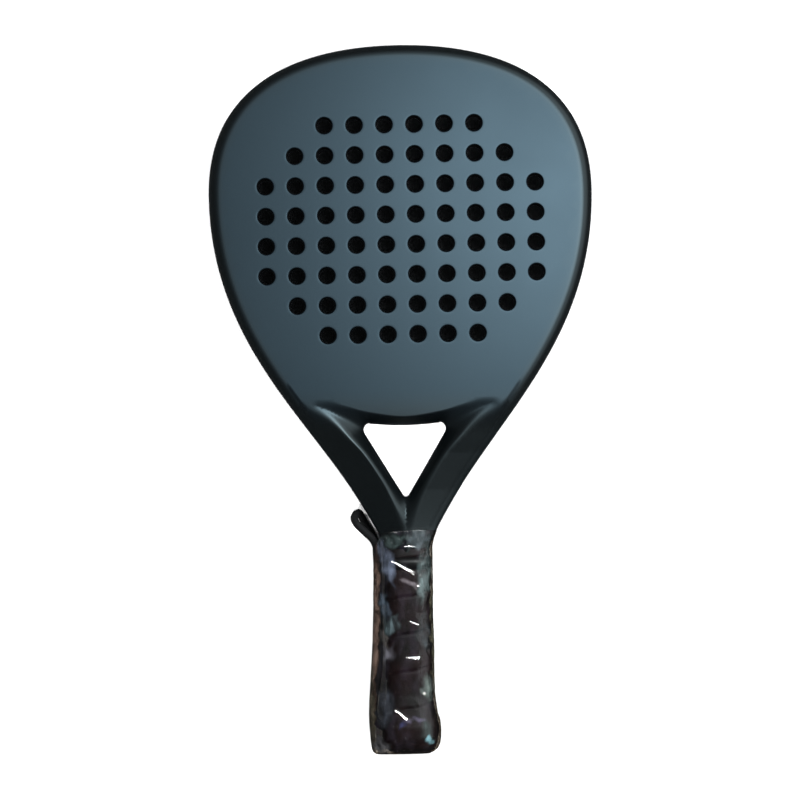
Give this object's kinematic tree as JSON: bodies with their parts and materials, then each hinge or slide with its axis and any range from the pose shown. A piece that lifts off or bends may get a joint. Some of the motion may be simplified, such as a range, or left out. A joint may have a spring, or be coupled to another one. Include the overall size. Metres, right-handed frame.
{
  "type": "padel racket",
  "caption": "Teardrop padel racket with a perforated solid face, an open triangular throat, and a new grip in clear film with its wrist cord folded beside it.",
  "frame": {"origin": "middle of the surface the racket rests on, under its rear face, halfway between butt and tip", "axes": "+X to the right when the front face is seen with the head up, +Y from the butt to the head's tip, +Z out of the front face"},
  "size_m": [0.2458, 0.4553, 0.038],
  "materials": {
    "frame_carbon": "satin",
    "bridge_carbon": "satin",
    "front_laminate": "satin",
    "rear_laminate": "satin",
    "head_foam": "matte",
    "handle_foam": "matte",
    "cap_plastic": "satin",
    "grip_polyurethane": "matte",
    "finishing_vinyl": "satin",
    "staple_steel": "satin",
    "clear_film": "gloss",
    "cord_polyester": "matte"
  },
  "bodies": {
    "root": {"frame_tube": "frame_carbon", "throat_bridge": "bridge_carbon", "front_face": "front_laminate", "rear_face": "rear_laminate", "head_core": "head_foam", "handle_core": "handle_foam", "butt_cap": "cap_plastic", "grip_tape": "grip_polyurethane", "finishing_tape": "finishing_vinyl", "grip_staple": "staple_steel", "film_sleeve": "clear_film", "wrist_cord": "cord_polyester", "cord_knot": "cord_polyester"}
  },
  "joints": []
}
